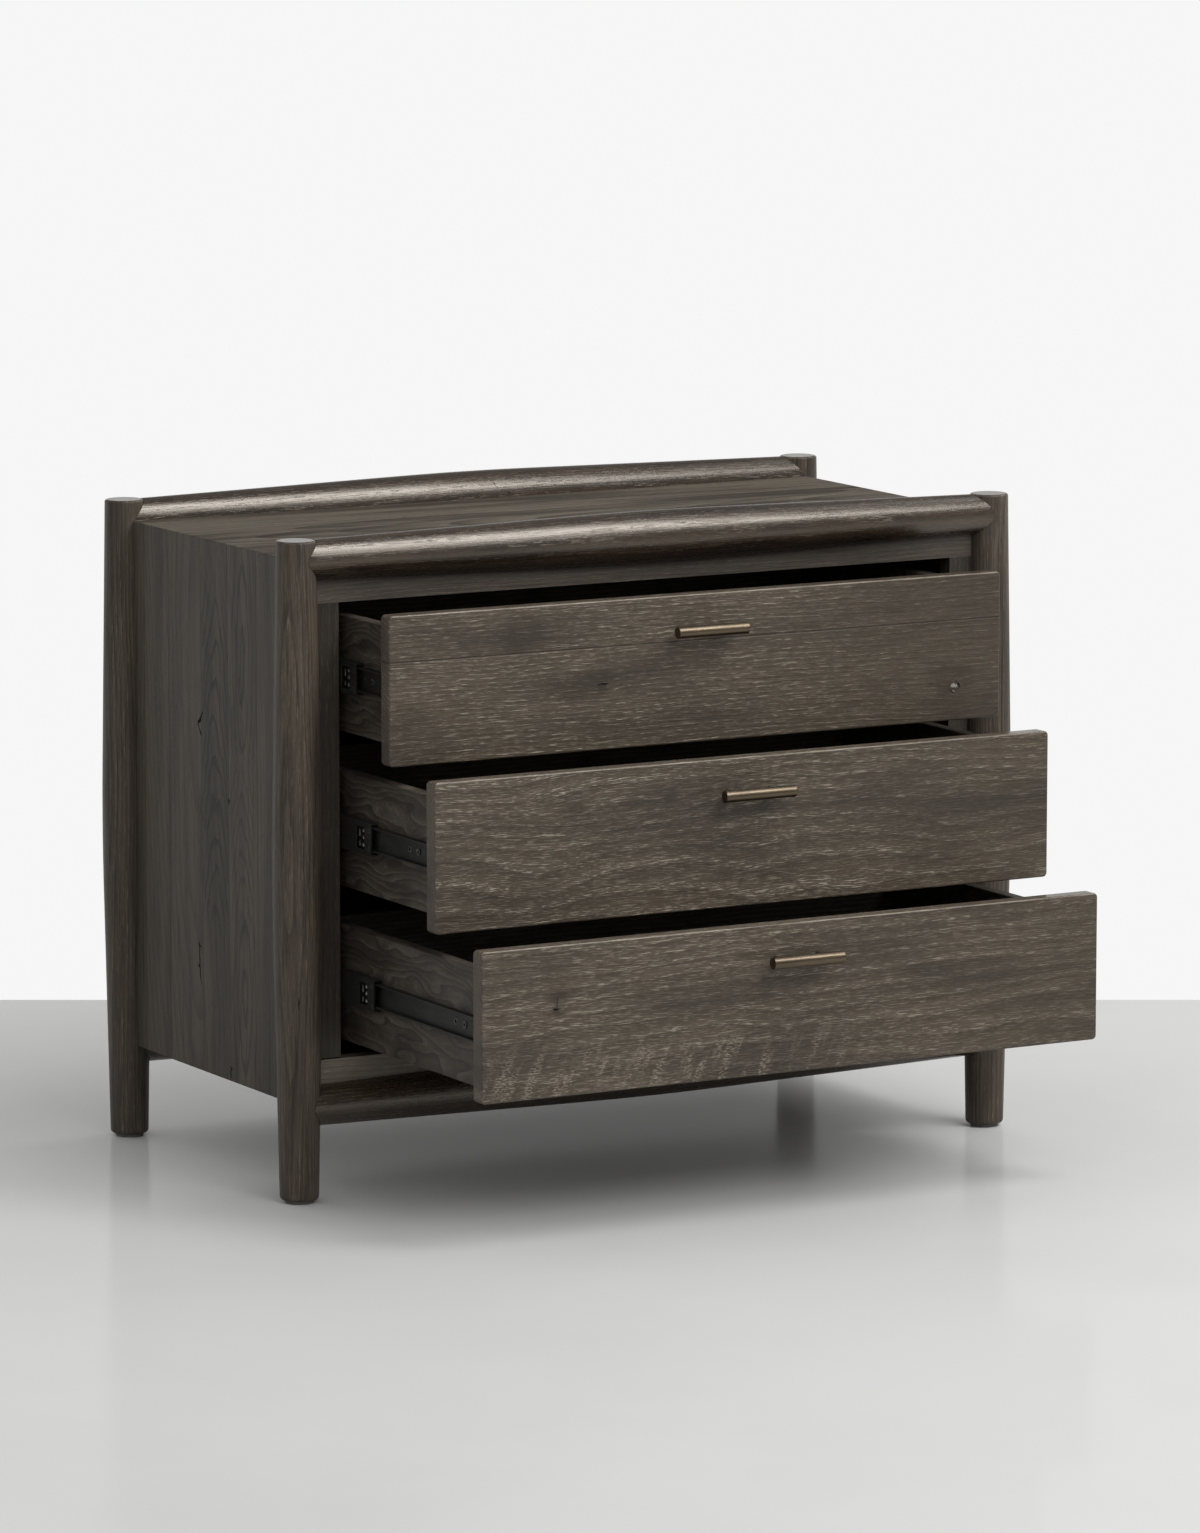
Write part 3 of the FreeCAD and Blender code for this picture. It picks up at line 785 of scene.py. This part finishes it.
# flat faces: the axis across each, and where it lies
leftFace = (0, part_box("left_side_panel")[0].x)
rightFace = (0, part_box("right_side_panel")[1].x)
backFace = (1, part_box("back_panel")[1].y)
topFace = (2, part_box("top_panel")[1].z)
topFrontFace = (1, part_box("top_drawer_front")[0].y)
bottomFrontFace = (1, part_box("bottom_drawer_front")[0].y)


checkShadesAndFills = {
    "panelChecks": {
        "boards": ("left_side_panel", "right_side_panel", "top_panel", "back_panel"),
        "body": "cabinet",
        "slot": "smoked_oak_panel",
        "finish": darkFillAndShade,
        "marks": (
            flatCheck(leftFace, (0.0150, 0.4660), (0.0185, 0.4580), (0.0255, 0.4510), (0.0235, 0.4440),
                      halfWidth=0.0034),
            flatCheck(leftFace, (0.0245, 0.4460), (0.0165, 0.4390), halfWidth=0.0022),
            flatCheck(leftFace, (-0.0425, 0.3842), (-0.0425, 0.3772), halfWidth=0.0030, blunt=0.4),
            flatCheck(leftFace, (0.0272, 0.2330), (0.0258, 0.2150), (0.0260, 0.2000), (0.0220, 0.1810),
                      halfWidth=0.0021),
            flatCheck(leftFace, (0.0295, 0.2260), (0.0225, 0.2225), halfWidth=0.0024),
            flatCheck(leftFace, (0.0305, 0.2040), (0.0240, 0.2015), halfWidth=0.0024),
            flatCheck(leftFace, (-0.0430, 0.1120), (-0.0420, 0.0975), halfWidth=0.0022),
            flatCheck(leftFace, (-0.0400, 0.1110), (-0.0470, 0.1080), halfWidth=0.0014),
            flatCheck(rightFace, (-0.062, 0.522), (-0.060, 0.512), (-0.063, 0.502), halfWidth=0.0008),
            flatCheck(rightFace, (0.091, 0.312), (0.093, 0.287)),
            flatCheck(rightFace, (0.018, 0.182), (0.017, 0.166), halfWidth=0.0009),
            flatCheck(topFace, (-0.148, 0.060), (-0.142, 0.067), (-0.137, 0.074), halfWidth=0.0008),
            flatCheck(topFace, (0.205, -0.022), (0.231, -0.020), halfWidth=0.0007),
            flatCheck(backFace, (0.124, 0.424), (0.126, 0.402), (0.123, 0.381), halfWidth=0.0009),
            flatCheck(backFace, (-0.236, 0.262), (-0.235, 0.238)),
        ),
    },
    "turnedChecks": {
        "boards": ("front_left_leg", "back_right_leg", "top_back_rail", "bottom_back_rail"),
        "body": "cabinet",
        "slot": "smoked_oak_turned",
        "finish": darkFillAndShade,
        "marks": (
            check((-0.411, -0.218, 0.212), (-0.4115, -0.218, 0.195)),
            check((0.421, 0.199, 0.418), (0.422, 0.199, 0.396), halfWidth=0.0007),
            check((0.016, 0.172, 0.661), (0.018, 0.170, 0.655), (0.022, 0.167, 0.648), halfWidth=0.0007),
            check((0.0325, 0.167, 0.6445), (0.0360, 0.167, 0.6435), halfWidth=0.0012, blunt=0.4),
            check((-0.210, 0.216, 0.100), (-0.186, 0.216, 0.099), halfWidth=0.0007),
        ),
    },
    "topFrontKnots": {
        "boards": ("top_drawer_front",),
        "body": "top_drawer",
        "slot": "smoked_oak_front",
        "finish": darkFillAndShade,
        "marks": (
            flatCheck(topFrontFace, (-0.118, 0.5112), (-0.110, 0.5106), (-0.104, 0.5112), halfWidth=0.0014),
            flatCheck(topFrontFace, (0.2985, 0.4840), (0.3012, 0.4815), (0.3022, 0.4782), halfWidth=0.0016),
            flatCheck(topFrontFace, (0.2890, 0.4772), (0.2920, 0.4748), (0.2968, 0.4728), halfWidth=0.0008),
            flatCheck(topFrontFace, (0.2960, 0.4856), (0.2990, 0.4846), halfWidth=0.0009),
        ),
    },
    "topFrontPaleKnot": {
        "boards": ("top_drawer_front",),
        "body": "top_drawer",
        "slot": "smoked_oak_front",
        "finish": paleFill,
        "marks": (
            flatCheck(topFrontFace, (0.2908, 0.4806), (0.2998, 0.4800), halfWidth=0.0037, blunt=0.4),
            flatCheck(topFrontFace, (0.2930, 0.4760), (0.2962, 0.4742), halfWidth=0.0012, blunt=0.5),
        ),
    },
    "bottomFrontKnot": {
        "boards": ("bottom_drawer_front",),
        "body": "bottom_drawer",
        "slot": "smoked_oak_front",
        "finish": darkFillAndShade,
        "marks": (
            flatCheck(bottomFrontFace, (-0.2715, 0.2292), (-0.2650, 0.2290), halfWidth=0.0020, blunt=0.4),
            flatCheck(bottomFrontFace, (-0.2672, 0.2300), (-0.2660, 0.2420), halfWidth=0.0008),
        ),
    },
}
for name, looks in checkShadesAndFills.items():
    layCheckShadesAndFills(name, looks)
print("checks and knots filled")


# slide ends: balls that show in the window of each intermediate member, and its stop pads

slideEndLooks = {
    "windowStart": 0.013,              # behind the front end of the member
    "floorDepth": 0.0016,              # from the face of the web to the cage
    "ballRows": (-0.0070, 0.0006, 0.0072),
    "ballColumn": 0.0046,
    "ballRadius": 0.0025,
    "ballHeight": 0.0013,
    "stopColumn": 0.0120,
    "stopSpans": ((-0.0094, -0.0028), (0.0, 0.0090)),
    "stopRadius": 0.0019,
    "collar": 0.0006,                  # wider than its ball
    "collarHeight": 0.0004,
    "padBehind": 0.0062,               # middle of a pad, behind the front end
    "padHeights": (-0.0094, 0.0094),
    "padSize": (0.0090, 0.0070),
    "padRise": 0.0010,
}


def bridge(mesh, loops):
    # faces between each loop of corners and the next
    for lower, upper in zip(loops, loops[1:]):
        for step in range(len(lower)):
            following = (step + 1) % len(lower)
            mesh.faces.new((lower[step], lower[following], upper[following], upper[step]))


def dome(mesh, place, outward, radius, height, rings=5, around=18, stretch=0.0):
    # a low cap on a plane of constant x, round, or drawn out upwards to that half height
    loops = []
    for ring in range(rings):
        tilt = 0.5 * math.pi * ring / rings
        loop = []
        for step in range(around):
            turn = 2 * math.pi * (step + 0.5) / around
            reach = radius * math.cos(tilt)
            tall = reach * math.sin(turn) + math.copysign(max(stretch - radius, 0.0), math.sin(turn))
            offset = Vector((outward * height * math.sin(tilt), reach * math.cos(turn), tall))
            loop.append(mesh.verts.new(place + offset))
        loops.append(loop)
    tip = mesh.verts.new(place + Vector((outward * height, 0.0, 0.0)))
    bridge(mesh, loops)
    for step in range(around):
        mesh.faces.new((loops[-1][step], loops[-1][(step + 1) % around], tip))


padLoops = ((1.0, 0.0), (1.0, 0.65), (0.82, 1.0))     # shares of the size and of the rise
padCorners = ((-1, -1), (1, -1), (1, 1), (-1, 1))


def pad(mesh, place, outward, size, rise):
    # a plate with chamfered edges on a plane of constant x
    loops = []
    for share, level in padLoops:
        loop = []
        for y, z in padCorners:
            offset = Vector((outward * rise * level, 0.5 * size[0] * share * y, 0.5 * size[1] * share * z))
            loop.append(mesh.verts.new(place + offset))
        loops.append(loop)
    bridge(mesh, loops)
    mesh.faces.new(loops[-1])


def dressSlide(drawer, looks):
    low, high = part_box(drawer + "_intermediate_slide_members")
    middle = 0.5 * (low.z + high.z)
    start = low.y + looks["windowStart"]
    balls = bmesh.new()
    collars = bmesh.new()
    pads = bmesh.new()
    for outward, face in ((-1, low.x), (1, high.x)):
        floorX = face - outward * looks["floorDepth"]
        for row in looks["ballRows"]:
            place = Vector((floorX, start + looks["ballColumn"], middle + row))
            dome(balls, place, outward, looks["ballRadius"], looks["ballHeight"])
            wide = looks["ballRadius"] + looks["collar"]
            dome(collars, place, outward, wide, looks["collarHeight"], rings=2)
        for bottom, top in looks["stopSpans"]:
            place = Vector((floorX, start + looks["stopColumn"], middle + 0.5 * (bottom + top)))
            half = 0.5 * (top - bottom)
            dome(collars, place, outward, looks["stopRadius"], looks["ballHeight"], stretch=half)
        for row in looks["padHeights"]:
            place = Vector((face, low.y + looks["padBehind"], middle + row))
            pad(pads, place, outward, looks["padSize"], looks["padRise"])
    addPiece(drawer + "SlideBalls", balls, drawer + "_slides", ballSteel)
    addPiece(drawer + "SlideCollars", collars, drawer + "_slides", cageSteel)
    addPiece(drawer + "SlidePads", pads, drawer + "_slides", blackAndShadedSlide, smooth=False)


# near-black crosses on the heads of the slide screws and pull screws, painted shade of their cross
# recesses, and bright rims round them

recessShadeLooks = {
    "arm": 0.0021,
    "half": 0.00045,
    "rise": 0.00006,
    "taper": 0.92,
    "mostTurn": 1.5,                   # radians: each screw was left at another turn
}
rimLooks = {"screw": (0.0027, 0.00335), "hole": (0.0023, 0.0030), "rise": 0.00012}
spareHole = {"behind": 0.0195, "web": 0.0011}    # behind the front screw, and under its head
quarterTurn = 0.5 * math.pi


# a thin near-black cross that stands just proud of the head: painted shade of the cross recess
def recessShadeCross(mesh, frameAt, looks):
    arm = looks["arm"]
    half = looks["half"]
    outline = ((-half, -arm), (half, -arm), (half, -half), (arm, -half), (arm, half), (half, half),
               (half, arm), (-half, arm), (-half, half), (-arm, half), (-arm, -half), (-half, -half))
    loops = []
    for share, level in ((1.0, -looks["rise"]), (looks["taper"], looks["rise"])):
        corners = [Vector((across * share, up * share, level)) for across, up in outline]
        loops.append([mesh.verts.new(frameAt @ corner) for corner in corners])
    bridge(mesh, loops)
    mesh.faces.new(loops[-1])


def rim(mesh, frameAt, radii, rise, around=28):
    loops = []
    for radius, level in ((radii[0], -rise), (0.5 * sum(radii), rise), (radii[1], -rise)):
        loop = []
        for step in range(around):
            turn = 2 * math.pi * step / around
            corner = Vector((radius * math.cos(turn), radius * math.sin(turn), level))
            loop.append(mesh.verts.new(frameAt @ corner))
        loops.append(loop)
    bridge(mesh, loops)


def headTurn(angle, axis, dice, looks):
    # from the head's own z axis to the way it faces
    driven = Matrix.Rotation(dice.uniform(0, looks["mostTurn"]), 4, "Z")
    return Matrix.Rotation(angle, 4, axis) @ driven


def dressScrews(drawer, looks):
    dice = random.Random(drawer)
    mesh = bmesh.new()
    rims = bmesh.new()
    low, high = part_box(drawer + "_slide_screws")
    middle = 0.5 * (low.z + high.z)
    radius = 0.5 * (high.z - low.z)
    for outward, face in ((-1, low.x), (1, high.x)):
        for y in (low.y + radius, high.y - radius):
            turn = headTurn(outward * quarterTurn, "Y", dice, looks)
            head = Matrix.Translation((face, y, middle)) @ turn
            recessShadeCross(mesh, head, looks)
            rim(rims, head, rimLooks["screw"], rimLooks["rise"])
        place = (face - outward * spareHole["web"], low.y + radius + spareHole["behind"], middle)
        hole = Matrix.Translation(place) @ turn    # round, so the last turn will do
        rim(rims, hole, rimLooks["hole"], rimLooks["rise"])
    addPiece(drawer + "SlideScrewRecessShades", mesh, drawer + "_drawer", darkFillAndShade, smooth=False)
    addPiece(drawer + "SlideRims", rims, drawer + "_drawer", ballSteel)
    mesh = bmesh.new()
    low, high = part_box(drawer + "_pull_screws")
    middle = 0.5 * (low.z + high.z)
    radius = 0.5 * (high.z - low.z)
    for x in (low.x + radius, high.x - radius):
        turn = headTurn(-quarterTurn, "X", dice, looks)
        recessShadeCross(mesh, Matrix.Translation((x, high.y, middle)) @ turn, looks)
    addPiece(drawer + "PullScrewRecessShades", mesh, drawer + "_drawer", darkFillAndShade, smooth=False)


for drawer in drawers:
    dressSlide(drawer, slideEndLooks)
    dressScrews(drawer, recessShadeLooks)
print("slide ends and screw heads dressed")


# camera, floor and light

photoCamera = {
    "lens": 188.54,
    "sensor": 36.0,
    "place": (-3.931, -7.140, 1.6444),
    "yaw": 29.139,
    "pitch": 8.817,
    "clipEnd": 60.0,
}


def aimCamera(looks):
    data = bpy.data.cameras.new("photoCamera")
    data.lens = looks["lens"]
    data.sensor_width = looks["sensor"]
    data.clip_end = looks["clipEnd"]
    camera = bpy.data.objects.new("photoCamera", data)
    camera.location = looks["place"]
    camera.rotation_euler = (math.radians(90.0 - looks["pitch"]), 0.0, -math.radians(looks["yaw"]))
    bpy.context.scene.collection.objects.link(camera)
    bpy.context.scene.camera = camera


def eyeRays(tree):
    path = addNode(tree, "ShaderNodeLightPath")
    seen = sums(tree, "MAXIMUM", path.outputs["Is Camera Ray"], path.outputs["Is Glossy Ray"])
    return sums(tree, "MAXIMUM", seen, path.outputs["Is Transmission Ray"])


floorLooks = {
    "tone": (0.425, 0.425, 0.417),
    "cloudTone": (0.40, 0.40, 0.393),
    "cloudSize": (0.8, 0.8, 0.8),
    "cloudCut": (0.35, 0.7),
    "speckTone": (0.30, 0.30, 0.295),
    "speckSize": (0.012, 0.012, 0.012),
    "speckCut": (0.70, 0.80),
    "speckAmount": 0.5,
    "lift": (0.02, 0.02, 0.02),        # paler to the eye than it is to the object
    "rough": (0.11, 0.18),
    "roughCut": (0.3, 0.7),
    "specular": 0.028,
    "farEdge": 8.888,                  # from the camera, where the floor meets the white
    "nearEdge": -4.0,
    "halfWidth": 9.0,
}


def polishedFloor(looks):
    finish, tree, shader = newFinish("polishedFloor")
    space = objectSpace(tree)
    mottle = cloud(tree, space, looks["cloudSize"], detail=5.0, rough=0.6).outputs[0]
    speck = cloud(tree, space, looks["speckSize"], detail=3.0, rough=0.7).outputs[0]
    speck = fade(tree, speck, *looks["speckCut"], 0.0, looks["speckAmount"])
    tone = blendTone(tree, fade(tree, mottle, *looks["cloudCut"]), looks["tone"], looks["cloudTone"])
    tone = blendTone(tree, speck, tone, looks["speckTone"])
    tree.links.new(tone, shader.inputs["Base Color"])
    rough = fade(tree, mottle, *looks["roughCut"], *looks["rough"])
    tree.links.new(rough, shader.inputs["Roughness"])
    shader.inputs["Specular IOR Level"].default_value = looks["specular"]
    lift = blendTone(tree, eyeRays(tree), (0.0, 0.0, 0.0), looks["lift"])
    pale = addNode(tree, "ShaderNodeBsdfDiffuse", {"Color": lift})
    both = addNode(tree, "ShaderNodeAddShader", {0: shader.outputs[0], 1: pale.outputs[0]})
    tree.links.new(both.outputs[0], tree.nodes["Material Output"].inputs["Surface"])
    return finish


def layFloor(looks, camera):
    yaw = math.radians(camera["yaw"])
    ahead = Vector((math.sin(yaw), math.cos(yaw), 0.0))
    aside = Vector((math.cos(yaw), -math.sin(yaw), 0.0))
    start = Vector((camera["place"][0], camera["place"][1], 0.0))
    near = looks["nearEdge"]
    far = looks["farEdge"]
    corners = []
    for reach, side in ((near, -1), (near, 1), (far, 1), (far, -1)):
        corners.append(start + ahead * reach + aside * side * looks["halfWidth"])
    mesh = bpy.data.meshes.new("floor")
    mesh.from_pydata(corners, [], [(0, 1, 2, 3)])
    mesh.materials.append(polishedFloor(looks))
    floor = bpy.data.objects.new("floor", mesh)
    bpy.context.scene.collection.objects.link(floor)


worldLooks = {
    "backdrop": (0.92, 0.925, 0.92),   # behind the object
    "room": (0.20, 0.20, 0.195),       # behind the camera
    "zenith": (0.18, 0.18, 0.18),
    "riseCut": (0.0, 0.36),            # heights of the view between backdrop and zenith
    "depthCut": (-0.5, 0.3),           # between room and backdrop
    "belowCut": (-0.08, 0.0),
    "matteLight": (                    # what matte surfaces get: height and strength
        (0.0, 0.20),
        (0.12, 0.40),
        (0.32, 0.60),
        (0.70, 0.70),
        (1.0, 0.66),
    ),
    "gains": (                         # more of that from some sides: axis, start, full, gain
        (1, -0.2, -0.9, 2.5),
        (0, -0.3, -0.9, 1.5),
        (1, 0.2, 0.8, 1.8),
    ),
}


def lightWorld(looks):
    world = bpy.data.worlds.new("studio")
    world.use_nodes = True
    bpy.context.scene.world = world
    tree = world.node_tree
    axes = axesOf(tree, addNode(tree, "ShaderNodeTexCoord").outputs["Generated"])
    rise = fade(tree, axes[2], *looks["riseCut"])
    depth = fade(tree, axes[1], *looks["depthCut"])
    below = fade(tree, axes[2], *looks["belowCut"], 1.0, 0.0)
    horizon = blendTone(tree, sums(tree, "MAXIMUM", depth, below), looks["room"], looks["backdrop"])
    view = blendTone(tree, rise, horizon, looks["zenith"])
    matte = addNode(tree, "ShaderNodeValToRGB", {0: axes[2]})
    stops = matte.color_ramp.elements
    while len(stops) < len(looks["matteLight"]):
        stops.new(0.5)
    for stop, (height, strength) in zip(stops, looks["matteLight"]):
        stop.position = height
        stop.color = (strength, strength, strength, 1.0)
    gains = [fade(tree, axes[axis], start, full, 1.0, most) for axis, start, full, most in looks["gains"]]
    shed = blendTone(tree, 1.0, matte.outputs[0], joined(tree, "MAXIMUM", gains), "MULTIPLY")
    tree.links.new(blendTone(tree, eyeRays(tree), shed, view), tree.nodes["Background"].inputs["Color"])


softboxes = {
    "keySoftbox": {
        "azimuth": 40.0,
        "elevation": 57.0,
        "distance": 3.6,
        "size": (1.0, 2.5),
        "radiance": 10.0,
    },
    "frontSoftbox": {
        "azimuth": 6.0,
        "elevation": 36.0,
        "distance": 5.0,
        "size": (2.55, 1.7),
        "radiance": 7.0,
    },
    "sideSoftbox": {
        "azimuth": 98.0,
        "elevation": 40.0,
        "distance": 4.2,
        "size": (2.2, 1.8),
        "radiance": 2.6,
    },
}
lightTarget = Vector((0.0, -0.15, 0.36))


def hangSoftbox(name, looks):
    azimuth = math.radians(looks["azimuth"])
    elevation = math.radians(looks["elevation"])
    away = Vector((math.sin(azimuth) * math.cos(elevation), -math.cos(azimuth) * math.cos(elevation),
                   math.sin(elevation)))
    data = bpy.data.lights.new(name, "AREA")
    data.shape = "RECTANGLE"
    data.size, data.size_y = looks["size"]
    data.energy = looks["radiance"] * math.pi * data.size * data.size_y
    lamp = bpy.data.objects.new(name, data)
    lamp.location = lightTarget + away * looks["distance"]
    lamp.rotation_euler = (-away).to_track_quat("-Z", "Y").to_euler()
    lamp.visible_camera = False
    bpy.context.scene.collection.objects.link(lamp)


aimCamera(photoCamera)
layFloor(floorLooks, photoCamera)
lightWorld(worldLooks)
for name, looks in softboxes.items():
    hangSoftbox(name, looks)
bpy.context.scene.view_settings.view_transform = "Standard"
print("camera, floor and light set")
